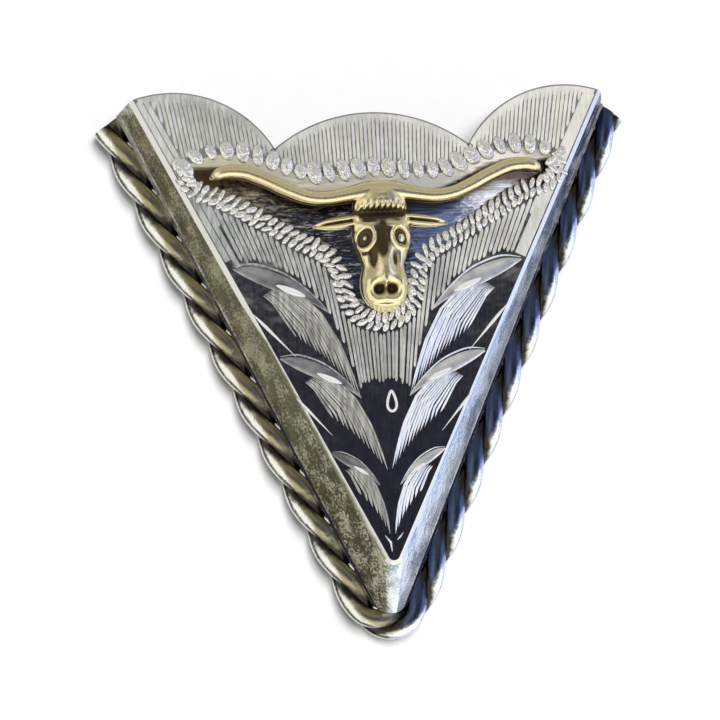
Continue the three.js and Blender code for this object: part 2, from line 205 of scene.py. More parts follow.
class Value:
    """An output in a node tree. Each operation on it adds one maths node."""

    def __init__(self, tree, socket):
        self.tree = tree
        self.socket = socket

    def maths(self, operation, *terms):
        sockets = dict(enumerate(terms or [self]))
        return self.tree.add("ShaderNodeMath", {"operation": operation}, sockets)[0]

    def __add__(self, other):
        return self.maths("ADD", self, other)

    def __radd__(self, other):
        return self.maths("ADD", other, self)

    def __sub__(self, other):
        return self.maths("SUBTRACT", self, other)

    def __rsub__(self, other):
        return self.maths("SUBTRACT", other, self)

    def __mul__(self, other):
        return self.maths("MULTIPLY", self, other)

    def __rmul__(self, other):
        return self.maths("MULTIPLY", other, self)

    def step(self, low, high):
        """0 below low, 1 above high, and a smooth rise between them."""
        sockets = {"Value": self, "From Min": low, "From Max": high}
        settings = {"interpolation_type": "SMOOTHSTEP"}
        return self.tree.add("ShaderNodeMapRange", settings, sockets)["Result"]

    def mix(self, a, b):
        """Colour a where this is 0 and colour b where it is 1."""
        sockets = {0: self, 6: a, 7: b}
        return self.tree.add("ShaderNodeMix", {"data_type": "RGBA"}, sockets)[2]


class Tree:
    """A node tree that is filled through one method."""

    def __init__(self, tree):
        self.tree = tree
        tree.nodes.clear()

    def add(self, kind, settings=None, sockets=None):
        node = self.tree.nodes.new(kind)
        for name, setting in (settings or {}).items():
            setattr(node, name, setting)
        for key, given in (sockets or {}).items():
            if isinstance(given, Value):
                self.tree.links.new(given.socket, node.inputs[key])
            else:
                node.inputs[key].default_value = given
        return Outputs(self, node)


class Outputs:
    """The outputs of one node, by name or number."""

    def __init__(self, tree, node):
        self.tree = tree
        self.node = node

    def __getitem__(self, key):
        return Value(self.tree, self.node.outputs[key])


class Metal(Tree):
    """A metal's material, which reads the place on the object in millimetres."""

    def __init__(self, name):
        self.material = bpy.data.materials.new(name)
        self.material.use_nodes = True
        super().__init__(self.material.node_tree)
        place = self.add("ShaderNodeTexCoord")["Object"]
        self.place = self.stretched(place, 1000, 1000, 1000)

    def stretched(self, place, x, y, z):
        settings = {"operation": "MULTIPLY"}
        return self.add("ShaderNodeVectorMath", settings, {0: place, 1: (x, y, z)})[0]

    def noise(self, place, scale, detail=3.0, roughness=0.5):
        sockets = {"Vector": place, "Scale": scale, "Detail": detail, "Roughness": roughness}
        return self.add("ShaderNodeTexNoise", {}, sockets)[0]

    def bump(self, height, depth):
        """A normal from a height of 0 to 1 that stands for a depth in millimetres."""
        sockets = {"Height": height, "Distance": depth * MM, "Strength": 1.0}
        return self.add("ShaderNodeBump", {}, sockets)[0]

    def finish(self, colour, roughness, normal, metallic=1.0):
        sockets = {"Base Color": colour, "Roughness": roughness, "Normal": normal}
        sockets["Metallic"] = metallic
        shader = self.add("ShaderNodeBsdfPrincipled", {}, sockets)[0]
        self.add("ShaderNodeOutputMaterial", {}, {"Surface": shader})
        return self.material


rope_edge = Wedge(ROPE_HALF_ANGLE, ROPE_TIP_RADIUS, ROPE_APEX_Y)
ridge_line = Wedge(RIDGE_HALF_ANGLE, RIDGE_TIP_RADIUS, RIDGE_APEX_Y)
foot = rope_edge.inset(ROPE_DIAMETER - ROPE_OVERLAP)
sharp_foot = Wedge(foot.half_angle, SHARPEST, foot.apex_y)


def lobe(top_x, top_y, cusp_x, cusp_y):
    run, drop = abs(cusp_x - top_x), top_y - cusp_y
    radius = (run * run + drop * drop) / (2 * drop)

    def height(x, inset=0.0):
        return top_y - radius + math.sqrt(max(0, (radius - inset) ** 2 - (x - top_x) ** 2))

    return height


middle_lobe = lobe(0, MIDDLE_LOBE_Y, CUSP_X, CUSP_Y)
side_lobe = lobe(SIDE_LOBE_X, TOP_Y, CUSP_X, CUSP_Y)


def scallop_y(x, inset=0.0):
    return middle_lobe(x, inset) if x < CUSP_X else side_lobe(x, inset)


half_edge = [(x, scallop_y(x)) for x in np.linspace(CORNER_X, CUSP_X, 29)]
half_edge += [(x, scallop_y(x)) for x in np.linspace(CUSP_X, 0, 25)[1:]]
past_rope = 8
past_point = -50
cut_x = CORNER_X + past_rope
cut_y = half_edge[0][1] - past_rope * CUT_SLOPE
plan = half_edge + [(-x, y) for x, y in half_edge[-2::-1]]
plan += [(-cut_x, cut_y), (-cut_x, past_point), (cut_x, past_point), (cut_x, cut_y)]

# Each ring runs on past the scallops, where the trim cuts it off.
past_scallops = 26
shapes = Shapes()
shapes.skin(
    [
        sharp_foot.ring(past_scallops, SKIRT_BOTTOM_Z),
        sharp_foot.ring(past_scallops, SKIRT_TOP_Z),
        sharp_foot.inset(LIP).ring(past_scallops, SKIRT_TOP_Z),
        ridge_line.inset(-FACET).ring(past_scallops, FACE_Z - FACET),
        ridge_line.ring(past_scallops, FACE_Z),
    ]
)
shell = shapes.make("shell")
cutters = []
for name, operation, rings in (
    ("round", "INTERSECT", [foot.inset(-0.01).ring(past_scallops + 1, z) for z in (0, 5.5)]),
    ("trim", "INTERSECT", [[(x, y, z) for x, y in plan] for z in (-3, 9)]),
    (
        "cavity",
        "DIFFERENCE",
        [
            foot.inset(SHEET).ring(past_scallops + 3, -1),
            foot.inset(SHEET).ring(past_scallops + 3, POCKET_SIDE_Z),
            ridge_line.inset(SHEET / 2).ring(past_scallops + 3, FACE_Z - SHEET),
        ],
    ),
):
    shapes = Shapes()
    shapes.skin(rings)
    cutters.append(shapes.make(name))
    cut = shell.modifiers.new(name, "BOOLEAN")
    cut.object = cutters[-1]
    cut.operation = operation
    cut.solver = "EXACT"
bake(shell)
for cutter in cutters:
    bpy.data.objects.remove(cutter)
edges = shell.modifiers.new("edges", "BEVEL")
edges.width = 0.05 * MM
edges.segments = 2
edges.limit_method = "ANGLE"
edges.angle_limit = math.radians(32)
bake(shell)
shade(shell, 14)
shell.modifiers.new("even", "WEIGHTED_NORMAL").keep_sharp = True
bake(shell)

metal = Metal("polished_silver")
cloud = metal.noise(metal.place, 0.5, 2.0)
scratch = metal.noise(metal.stretched(metal.place, 9.0, 0.7, 9.0), 1.0, 4.0, 0.6)
normal = metal.bump(cloud * 0.7 + scratch * 0.04, 0.06)
colour = scratch.mix((0.70, 0.71, 0.72, 1), (0.86, 0.86, 0.86, 1))
polished = metal.finish(colour, scratch * 0.14 + 0.06, normal)

metal = Metal("matted_silver")
along = metal.stretched(metal.place, 1.0, 0.55, 1.0)
pits = metal.add("ShaderNodeTexVoronoi", {}, {"Vector": along, "Scale": 2.6})["Distance"]
grain = metal.noise(metal.place, 5.0, 4.0, 0.65)
cloud = metal.noise(along, 0.8, 3.0)
normal = metal.bump(pits * 0.22 + grain * 0.2 + cloud * 0.7, 0.08)
# The tarnish is tinted by a painted reflection: olive on the left, darker toward the point, and
# blue on the right, painted darker at the upper right as painted shade. The pale mottled patches,
# more of them on the right, are partly wear and partly painted highlight.
axis = metal.add("ShaderNodeSeparateXYZ", {}, {0: metal.place})
on_right = axis["X"].step(-0.9, 0.3)
upper = axis["Y"].step(5.0, 17.0) * on_right
speck = grain * (0.8 - on_right * 0.45)
wear_and_painted_highlight = (speck + cloud * 0.7 + on_right * 0.30 - upper * 0.10).step(0.70, 0.88)
blue = upper.mix((0.38, 0.46, 0.62, 1), (0.10, 0.13, 0.22, 1))
olive = axis["Y"].step(-12.0, 1.0).mix((0.14, 0.135, 0.09, 1), (0.31, 0.30, 0.215, 1))
tarnish_and_painted_reflection = on_right.mix(olive, blue)
colour = wear_and_painted_highlight.mix(tarnish_and_painted_reflection, on_right.mix((0.78, 0.77, 0.64, 1), (0.88, 0.93, 1.0, 1)))
matted = metal.finish(colour, grain * 0.26 + 0.14, normal, 0.77 - on_right * 0.17)

shell.data.materials.append(polished)
shell.data.materials.append(matted)
for face in shell.data.polygons:
    between = SKIRT_TOP_Z + 0.05 < face.center.z / MM < FACE_Z - FACET - 0.03
    face.material_index = 1 if between and 0.3 < face.normal.z < 0.99 else 0
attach(shell, "root")
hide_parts("front_shell")

# Border round the longhorn, punched up from the sheet, so it is part of it: broad lobes
# above the horns, and two close rows of slanting bead strokes below them.


def smooth_path(points, steps, closed=False):
    """Points on a smooth curve through rows of numbers, with steps between each two."""
    rows = np.array(points, float)
    if closed:
        rows = np.vstack([rows[-1:], rows, rows[:2]])
    else:
        ends = 2 * rows[0] - rows[1], 2 * rows[-1] - rows[-2]
        rows = np.vstack([ends[0], rows, ends[1]])
    curve = []
    for a, b, c, d in zip(rows, rows[1:], rows[2:], rows[3:]):
        for t in np.arange(steps) / steps:
            bend = 2 * a - 5 * b + 4 * c - d, 3 * b - a - 3 * c + d
            curve.append(b + 0.5 * t * (c - a + t * (bend[0] + t * bend[1])))
    return np.array(curve if closed else [*curve, rows[-2]])


HALF_BORDER = [
    (0, 14.4), (2.5, 14.2), (5, 14.1), (7, 14.8), (8.7, 15.5), (10.5, 15.9), (12.3, 15.8),
    (13.8, 15.2), (14.3, 14.3), (13.6, 13.3), (12, 12.7), (10.2, 11.8), (8.2, 10.6), (6, 9.3),
    (4.3, 8.4), (3.3, 7.3), (2.9, 6), (2.6, 4.7), (1.6, 3.5), (0, 3),
]
STEPS = 6
BEAD_CENTRE = 0.06
border = smooth_path(HALF_BORDER + [(-x, y) for x, y in HALF_BORDER[-2:0:-1]], STEPS, closed=True)
tip = HALF_BORDER.index((14.3, 14.3)) * STEPS
# The lobes stop short of the border's two ends, and the beads run a little round them.
above_horns = np.vstack([border[4 - tip :], border[: tip - 3]])
below_horns = border[tip - 5 : len(border) - tip + 6]
BEAD_ROWS = (
    {
        "name": "border_lobes", "path": above_horns,
        "Pitch": 1.12 * MM, "Offset": -0.30 * MM, "Size": (1.06, 1.60, 0.50),
        "Slant": 0.3, "Seed": 5, "Subdivisions": 3,
    },
    {
        "name": "outer_beads", "path": below_horns,
        "Pitch": 0.60 * MM, "Offset": 0.38 * MM, "Size": (1.16, 0.50, 0.50),
        "Slant": 1.15, "Seed": 3, "Subdivisions": 2,
    },
    {
        "name": "inner_beads", "path": below_horns,
        "Pitch": 0.55 * MM, "Offset": -0.30 * MM, "Size": (0.96, 0.46, 0.48),
        "Slant": 1.0, "Seed": 8, "Subdivisions": 2,
    },
)

group = bpy.data.node_groups.new("bead_row", "GeometryNodeTree")
group.is_modifier = True
tree = Tree(group)
for name, kind in (
    ("Path", "Geometry"), ("Pitch", "Float"), ("Offset", "Float"), ("Size", "Vector"),
    ("Slant", "Float"), ("Seed", "Int"), ("Subdivisions", "Int"), ("Metal", "Material"),
):
    group.interface.new_socket(name, in_out="INPUT", socket_type="NodeSocket" + kind)
group.interface.new_socket("Beads", in_out="OUTPUT", socket_type="NodeSocketGeometry")
given = tree.add("NodeGroupInput")
path = tree.add("GeometryNodeSetCurveNormal", {"mode": "Z_UP"}, {"Curve": given["Path"]})[0]
sockets = {"Curve": path, "Length": given["Pitch"]}
points = tree.add("GeometryNodeCurveToPoints", {"mode": "LENGTH"}, sockets)
sockets = {0: points["Normal"], "Scale": given["Offset"]}
offset = tree.add("ShaderNodeVectorMath", {"operation": "SCALE"}, sockets)["Vector"]
sockets = {"Geometry": points["Points"], "Offset": offset}
placed = tree.add("GeometryNodeSetPosition", {}, sockets)[0]
settings = {"axis": "X", "pivot_axis": "Z"}
turned = tree.add("FunctionNodeAlignRotationToVector", settings, {"Vector": points["Tangent"]})[0]
sockets = {2: 0.6, 3: 1.3, "Seed": given["Seed"]}
chance = tree.add("FunctionNodeRandomValue", {"data_type": "FLOAT"}, sockets)[1]
slant = tree.add("ShaderNodeCombineXYZ", {}, {"Z": given["Slant"] * chance})[0]
sockets = {"Rotation": turned, "Rotate By": slant}
turned = tree.add("FunctionNodeRotateRotation", {"rotation_space": "LOCAL"}, sockets)[0]
sockets = {"Radius": 0.5 * MM, "Subdivisions": given["Subdivisions"]}
ball = tree.add("GeometryNodeMeshIcoSphere", {}, sockets)[0]
bead = tree.add("GeometryNodeTransform", {}, {"Geometry": ball, "Scale": given["Size"]})[0]
sockets = {0: (0.78, 0.74, 0.66), 1: (1.12, 1.16, 1.20), "Seed": given["Seed"] + 1.0}
spread = tree.add("FunctionNodeRandomValue", {"data_type": "FLOAT_VECTOR"}, sockets)[0]
sockets = {"Points": placed, "Instance": bead, "Rotation": turned, "Scale": spread}
row = tree.add("GeometryNodeInstanceOnPoints", {}, sockets)[0]
real = tree.add("GeometryNodeRealizeInstances", {}, {0: row})[0]
smooth = tree.add("GeometryNodeSetShadeSmooth", {}, {0: real})[0]
sockets = {"Geometry": smooth, "Material": given["Metal"]}
coated = tree.add("GeometryNodeSetMaterial", {}, sockets)[0]
tree.add("NodeGroupOutput", {}, {0: coated})

metal = Metal("bead_silver")
height = metal.add("ShaderNodeSeparateXYZ", {}, {0: metal.place})["Z"]
grain = metal.noise(metal.place, 3.0, 3.0)
# Each bead is painted dark at its foot, where it meets the face: grime and painted shade in the
# gaps between the beads.
clear_of_dirt_and_painted_shade = (height + grain * 0.12).step(FACE_Z + 0.10, FACE_Z + 0.22)
colour = clear_of_dirt_and_painted_shade.mix((0.08, 0.07, 0.09, 1), (0.97, 0.96, 0.94, 1))
bead_silver = metal.finish(
    colour, grain * 0.2 + 0.06, metal.bump(grain, 0.22), 1 - clear_of_dirt_and_painted_shade * 0.22
)

for row in BEAD_ROWS:
    line = bpy.data.curves.new(row["name"], "CURVE")
    line.dimensions = "3D"
    spline = line.splines.new("POLY")
    spline.points.add(len(row["path"]) - 1)
    for point, (x, y) in zip(spline.points, row["path"]):
        point.co = (x * MM, y * MM, (FACE_Z + BEAD_CENTRE) * MM, 1)
    carrier = bpy.data.objects.new(row["name"] + "_path", line)
    bpy.context.scene.collection.objects.link(carrier)
    modifier = carrier.modifiers.new("beads", "NODES")
    modifier.node_group = group
    values = {**row, "Metal": bead_silver}
    for item in group.interface.items_tree:
        if item.in_out == "INPUT" and item.name in values:
            modifier[item.identifier] = values[item.name]
    evaluated = carrier.evaluated_get(bpy.context.evaluated_depsgraph_get())
    beads = bpy.data.objects.new(row["name"], bpy.data.meshes.new_from_object(evaluated))
    bpy.context.scene.collection.objects.link(beads)
    bpy.data.objects.remove(carrier)
    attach(beads, "root")
    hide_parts("front_shell")

# Ground inside the border: the sheet again, planished a little round and polished. It
# shows between the horns, the head and the beads.
shapes = Shapes()
shapes.skin([[(x, y, z) for x, y in border] for z in (FACE_Z - 0.2, FACE_Z + 0.03)])
ground = shapes.make("recess_ground")
metal = Metal("planished_silver")
across = metal.add("ShaderNodeSeparateXYZ", {}, {0: metal.place})
cloud = metal.noise(metal.stretched(metal.place, 0.5, 1.1, 1.0), 0.9, 3.0)
scratch = metal.noise(metal.stretched(metal.place, 0.5, 6.0, 6.0), 1.0, 4.0)
half_crown = -0.006 - across["X"].step(-0.5, 0.5) * 0.020
crown = across["X"] * across["X"] * half_crown + across["Y"] * 0.06
normal = metal.bump(crown + cloud * 0.16 + scratch * 0.006, 1.0)
# A painted shadow runs dark along the underside of the horns, and the strip above them is painted
# pale as a painted reflection.
under_horn = across["X"].maths("ABSOLUTE").step(4.0, 10.5) * 2.1 - across["Y"] + 11.75
clear = ((under_horn + 0.35).maths("ABSOLUTE") + scratch * 0.8).step(0.95, 1.75)
painted_pale_above_horn = (scratch * 0.3 - under_horn).step(1.1, 1.5)
shine = (scratch * 0.7 + cloud * 0.4).step(0.40, 0.70)
silver = shine.mix((0.45, 0.44, 0.42, 1), (0.92, 0.92, 0.92, 1))
colour = painted_pale_above_horn.mix(clear.mix((0.14, 0.10, 0.08, 1), silver), (0.80, 0.76, 0.62, 1))
planished = metal.finish(colour, scratch * 0.16 + 0.06, normal, 1 - painted_pale_above_horn * 0.5)
ground.data.materials.append(planished)
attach(ground, "root")
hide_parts("front_shell")

# Engraving, part of the sheet: satin lines fill the ground above the leaves, and every leaf has a
# petal with a painted glint on it, a fan of blades and, on all but the last leaf, a bright cut
# beside the petal.
LEAVES = (
    {"outer": (11.1, 7.6), "inner": (1.9, -2.3), "fan": 0.22},
    {"outer": (7.9, 0.8), "inner": (0.2, -7.9), "fan": 0.22},
    {"outer": (4.4, -6.4), "inner": (0.2, -12.7), "fan": 0.20},
)
# Shares of the leaf's length, like the fan's width: along it from its outer tip, off
# toward the middle, half width.
SPINE = [(0, 0), (0.12, 0.12), (0.30, 0.19), (0.52, 0.20), (0.72, 0.14), (0.87, 0.07), (1, 0)]
CRESCENT = [
    (0.01, 0.01, 0.002), (0.08, 0.100, 0.006), (0.20, 0.168, 0.007), (0.30, 0.197, 0.006),
    (0.42, 0.210, 0.005), (0.55, 0.207, 0.002),
]
PETAL = [
    (0.02, 0.0, 0.006), (0.09, 0.045, 0.034), (0.18, 0.092, 0.048), (0.28, 0.136, 0.048),
    (0.38, 0.172, 0.034), (0.48, 0.194, 0.016), (0.56, 0.202, 0.003),
]
# A glint is a painted highlight: a raised near-white patch on the petal.
GLINT = [(0.24, 0.100, 0.003), (0.29, 0.122, 0.018), (0.35, 0.149, 0.022), (0.42, 0.180, 0.003)]
SLIVER = [(0.27, -0.10, 0.002), (0.36, -0.10, 0.010), (0.48, -0.10, 0.006), (0.60, -0.10, 0.001)]
ROOT = 0.04
PETAL_HEIGHT = 0.10
GLINT_HEIGHT = 0.15
CRESCENT_HEIGHT = 0.06
SLIVER_HEIGHT = 0.10
BLADE_HEIGHT = 0.05
BLADE_SPACING = 0.205
LINE_HEIGHT = 0.05
LINE_STEP = 0.2
LAST_LINE_X = 17
LINES_TO_BEADS = 0.62
LINES_TO_LOBES = 0.5
LOBES_FROM_Y = 13.5
LINES_TO_RIDGE = 0.4
LINES_TO_BANDS = 1.02
BANDS_FROM_Y = 7
LINES_TO_LEAVES = 0.12
LINES_TO_EDGE = 0.12
BAND_HEIGHT = 0.03
BAND_ENDS = (8.3, 20.0)
RIM_INSET = 0.3
RIM_HALF = 0.2
RIM_HEIGHT = 0.075
ROUND = [(math.cos(a), math.sin(a) ** 1.2) for a in np.linspace(0, math.pi, 11)]
LOW_ARCH = [(1, 0), (0.7, 0.8), (0, 1), (-0.7, 0.8), (-1, 0)]


class Relief(Shapes):
    """Metal that stands over the face."""

    def ridge(self, rows, section):
        """Adds metal along rows of x, y, half width and height. Its section is in shares
        of the half width and the height."""
        rings = []
        for i, (x, y, half, height) in enumerate(rows):
            before, after = rows[max(i - 1, 0)], rows[min(i + 1, len(rows) - 1)]
            run = (after[0] - before[0], after[1] - before[1])
            length = math.hypot(*run) or 1.0
            across = (run[1] / length * half, -run[0] / length * half)
            rings.append(
                [
                    (x + across[0] * off, y + across[1] * off, FACE_Z - ROOT + (ROOT + height) * up)
                    for off, up in section
                ]
            )
        self.skin(rings)


def flat(tilt):
    """A flat-topped section, higher on one side by a share of its height."""
    return [(1, 0), (0.88, 1 - tilt), (-0.88, 1 + tilt), (-1, 0)]


def on_leaf(leaf, along, off):
    (x, y), (inner_x, inner_y) = leaf["outer"], leaf["inner"]
    run_x, run_y = inner_x - x, inner_y - y
    return x + run_x * along + run_y * off, y + run_y * along - run_x * off


def leaf_rows(leaf, shares, height):
    size = math.dist(leaf["outer"], leaf["inner"])
    rows = []
    for along, off, half in smooth_path(shares, 5):
        rise = height * min(1, abs(half) / 0.01)
        rows.append((*on_leaf(leaf, along, off), max(half, 0.002) * size, rise))
    return rows


def blade_rows(leaf, share, blades):
    """One blade of a fan: the first follows the spine, the last is the lowest."""
    end = 1.0 - 0.48 * share
    length = math.dist(leaf["outer"], leaf["inner"])
    rows = []
    for t in np.linspace(0, 1, 9):
        along = (0.26 - 0.02 * share) * (1 - t) + end * t
        width = leaf["fan"] * (0.52 + 0.48 * t)
        off = np.interp(along, *zip(*SPINE)) - share * width - 0.04 * (1 - t)
        taper = math.sqrt(min(1, 5 * (1 - t) + 0.02, 14 * t + 0.1))
        half = 0.46 * width * length / (blades - 1) * taper
        rows.append((*on_leaf(leaf, along, off), half, BLADE_HEIGHT * taper))
    return rows


def mirrored(rows):
    return [(-x, *rest) for x, *rest in rows]


chance = np.random.default_rng(41)
petals, fans, lines, bright = Relief(), Relief(), Relief(), Relief()
for leaf in LEAVES:
    length = math.dist(leaf["outer"], leaf["inner"])
    for side in (list, mirrored):
        petals.ridge(side(leaf_rows(leaf, PETAL, PETAL_HEIGHT)), ROUND)
        bright.ridge(side(leaf_rows(leaf, GLINT, GLINT_HEIGHT)), LOW_ARCH)
        fans.ridge(side(leaf_rows(leaf, CRESCENT, CRESCENT_HEIGHT)), LOW_ARCH)
        if leaf is not LEAVES[-1]:
            bright.ridge(side(leaf_rows(leaf, SLIVER, SLIVER_HEIGHT)), LOW_ARCH)
        blades = round(length * leaf["fan"] / BLADE_SPACING)
        for i in range(blades):
            share = i / (blades - 1) + chance.uniform(-0.012, 0.012)
            tilt = -0.45 if side is list else 0.2
            rows = blade_rows(leaf, share, blades)
            fans.ridge(side(rows), flat(tilt + chance.uniform(-0.1, 0.1)))

leaf_top = sorted(on_leaf(LEAVES[0], along, off) for along, off in smooth_path(SPINE, 4))
leaf_top = np.array([(0, -1.7), (1.3, -1.7), *leaf_top, (11.4, 7.6), (20, 7.6)])


def clear_of_border(x, y):
    """True outside the beads: neither within the border nor near its line."""
    a, b = border, np.roll(border, -1, axis=0)
    inside = ((a[:, 1] > y) != (b[:, 1] > y)) & (
        x < (b[:, 0] - a[:, 0]) * (y - a[:, 1]) / (b[:, 1] - a[:, 1] + 1e-9) + a[:, 0]
    )
    away = np.hypot(border[:, 0] - x, border[:, 1] - y).min()
    least = LINES_TO_LOBES if y > LOBES_FROM_Y else LINES_TO_BEADS
    return away >= least and inside.sum() % 2 == 0


def on_ground(x, y, spare):
    from_ridge = LINES_TO_BANDS if y > BANDS_FROM_Y else LINES_TO_RIDGE
    return (
        abs(x) < ridge_line.inset(from_ridge).side_x(y)
        and y < scallop_y(min(abs(x), CORNER_X), LINES_TO_EDGE)
        and y > np.interp(abs(x), leaf_top[:, 0], leaf_top[:, 1]) + LINES_TO_LEAVES + spare
        and clear_of_border(x, y)
    )


# Below the horns the lines spread from the drop; above them they stand nearly upright.
FIELDS = (
    {"y": 8.0, "lean": 0.041, "low": -3.0, "high": 13.2, "pitch": 0.34, "wider": 0.10},
    {"y": 17.0, "lean": 0.012, "low": 14.2, "high": 20.4, "pitch": 0.31, "wider": 0.0},
)
for field in FIELDS:
    x_level = field["pitch"] / 2
    while x_level < LAST_LINE_X:
        pitch = field["pitch"] + field["wider"] * max(0, 1 - x_level / 7)
        for side in (1, -1):
            lean = field["lean"] * x_level + chance.normal(0, 0.003)
            spare = chance.uniform(0, 0.35)
            tilt = chance.uniform(-0.35, 0.35)
            run = []
            for y in np.arange(field["low"], field["high"] + 0.5, LINE_STEP):
                x = x_level + (y - field["y"]) * math.tan(lean)
                local = pitch * (1 + (y - field["y"]) * field["lean"])
                if 0 < x and y < field["high"] and on_ground(x, y, spare):
                    at_rim = y > scallop_y(min(x, CORNER_X), 0.5 + spare)
                    half = local * (0.52 if at_rim else 0.38 * chance.uniform(0.92, 1.08))
                    run.append((side * x, y, half, LINE_HEIGHT))
                    continue
                if len(run) > 3:
                    ends = [(*row[:2], 0.04, 0.0) for row in (run[0], run[-1])]
                    lines.ridge([ends[0], *run[1:-1], ends[1]], flat(tilt))
                run = []
        x_level += pitch

# Plain bands lie inside the ridges and along the scallops.
BANDS = (
    {"side": mirrored, "inset": 0.30, "half": 0.24},
    {"side": mirrored, "inset": 0.78, "half": 0.20},
    {"side": list, "inset": 0.54, "half": 0.47},
)
RIMS = (
    {"first": -7.1, "last": 7.1, "sides": [list]},
    {"first": 7.65, "last": 17.35, "sides": [list, mirrored]},
)
for band in BANDS:
    middle = ridge_line.inset(band["inset"])
    stops = np.linspace(BAND_ENDS[0] - band["inset"], BAND_ENDS[1], 24)
    rows = [(middle.side_x(y), y, band["half"], BAND_HEIGHT) for y in stops]
    lines.ridge(band["side"](rows), flat(0.1))
for rim in RIMS:
    stops = np.linspace(rim["first"], rim["last"], 49)
    rows = [(x, scallop_y(abs(x), RIM_INSET), RIM_HALF, RIM_HEIGHT) for x in stops]
    for side in rim["sides"]:
        lines.ridge(side(rows), flat(0))

# A drop closes the lines below the head, with two short cuts at the face's point.
POINT_CUTS = (
    [(-0.12, -14.0, 0.03, 0.0), (-0.2, -13.3, 0.10, 0.1), (-0.62, -12.75, 0.02, 0.0)],
    [(0.28, -13.15, 0.02, 0.0), (0.5, -12.95, 0.07, 0.08), (0.8, -12.6, 0.02, 0.0)],
)
DROP = {"x": 0.45, "y": -2.85, "half_width": 0.32, "half_length": 0.75}
for rows in POINT_CUTS:
    bright.ridge(rows, LOW_ARCH)
rows = []
for a in np.linspace(0, 2 * math.pi, 41):
    x = DROP["x"] + DROP["half_width"] * math.sin(a) * (1 - 0.45 * math.cos(a))
    rows.append((x, DROP["y"] + DROP["half_length"] * math.cos(a), 0.11, 0.12))
bright.ridge(rows, LOW_ARCH)

# One near-white finish for the bright cuts, the drop and the glints; on the glints it is a painted
# highlight.
metal = Metal("glint_and_bright_cut_silver")
cloud = metal.noise(metal.place, 1.5, 3.0)
colour = cloud.mix((0.88, 0.88, 0.86, 1), (0.98, 0.98, 0.97, 1))
glint_and_cut_finish = metal.finish(colour, cloud * 0.2 + 0.10, metal.bump(cloud, 0.03), 0.35)
metal = Metal("petal_silver")
cloud = metal.noise(metal.place, 0.8, 3.0)
# Painted light: the petals are painted darker on the left and paler on the right, with random
# patches between the two tones.
on_right = metal.add("ShaderNodeSeparateXYZ", {}, {0: metal.place})["X"].step(-1.0, 1.0)
dull_and_painted_light = on_right.mix((0.20, 0.20, 0.23, 1), (0.55, 0.56, 0.60, 1))
paler = on_right.mix((0.48, 0.47, 0.48, 1), (0.92, 0.92, 0.94, 1))
colour = cloud.step(0.3, 0.7).mix(dull_and_painted_light, paler)
petal_silver = metal.finish(colour, cloud * 0.2 + 0.22, metal.bump(cloud, 0.06), 0.75)
metal = Metal("fan_silver")
streak = metal.noise(metal.stretched(metal.place, 4.0, 0.6, 1.0), 1.0, 3.0)
# Painted light: the fans are painted darker grey on the left and paler on the right, with a painted
# blue reflection there.
on_right = metal.add("ShaderNodeSeparateXYZ", {}, {0: metal.place})["X"].step(-1.0, 1.0)
dull_and_painted_light = on_right.mix((0.34, 0.34, 0.34, 1), (0.74, 0.80, 0.96, 1))
paler = on_right.mix((0.68, 0.68, 0.67, 1), (0.94, 0.97, 1.0, 1))
colour = streak.step(0.3, 0.7).mix(dull_and_painted_light, paler)
fan_silver = metal.finish(
    colour, streak * 0.2 + 0.20, metal.bump(streak, 0.03), 0.60 - on_right * 0.20
)
metal = Metal("satin_silver")
streak = metal.noise(metal.stretched(metal.place, 6.0, 0.8, 1.0), 1.0, 4.0, 0.6)
patch = metal.noise(metal.place, 0.3, 2.0)
axis = metal.add("ShaderNodeSeparateXYZ", {}, {0: metal.place})
# Painted light: the lines are painted paler toward the right and toward the top.
lit = axis["X"].step(-14.0, 14.0) * 0.7 + axis["Y"].step(12.5, 16.0) * 0.4
paler = (streak * 0.5 + patch * 0.5).step(0.34, 0.64)
dull_and_painted_light = lit.mix((0.30, 0.31, 0.30, 1), (0.76, 0.74, 0.68, 1))
colour = paler.mix(dull_and_painted_light, lit.mix((0.80, 0.82, 0.79, 1), (0.98, 0.96, 0.90, 1)))
satin = metal.finish(
    colour, streak * 0.2 + 0.28, metal.bump(streak, 0.03), 0.57 - lit * 0.22
)
for shapes, name, angle, coat in (
    (lines, "engraved_lines", 10, satin),
    (fans, "leaf_fans", 10, fan_silver),
    (petals, "leaf_petals", 60, petal_silver),
    (bright, "glints_and_bright_cuts", 60, glint_and_cut_finish),
):
    made = shapes.make(name, angle)
    made.data.materials.append(coat)
    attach(made, "root")
    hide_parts("front_shell")

# Rope edging: two wires twisted together, soldered along both long sides and round the
# point, with their ends sawn off in line with the corners.
STRAND_RADIUS = 0.73
STRAND_PITCH = 7.95
COIL = 0.44
STRAND_PHASE = -0.2
STRAND_SIDES = 20
STEPS_PER_TURN = 40
END_INSET = 0.14
UNCUT_TOP_Y = TOP_Y + 2

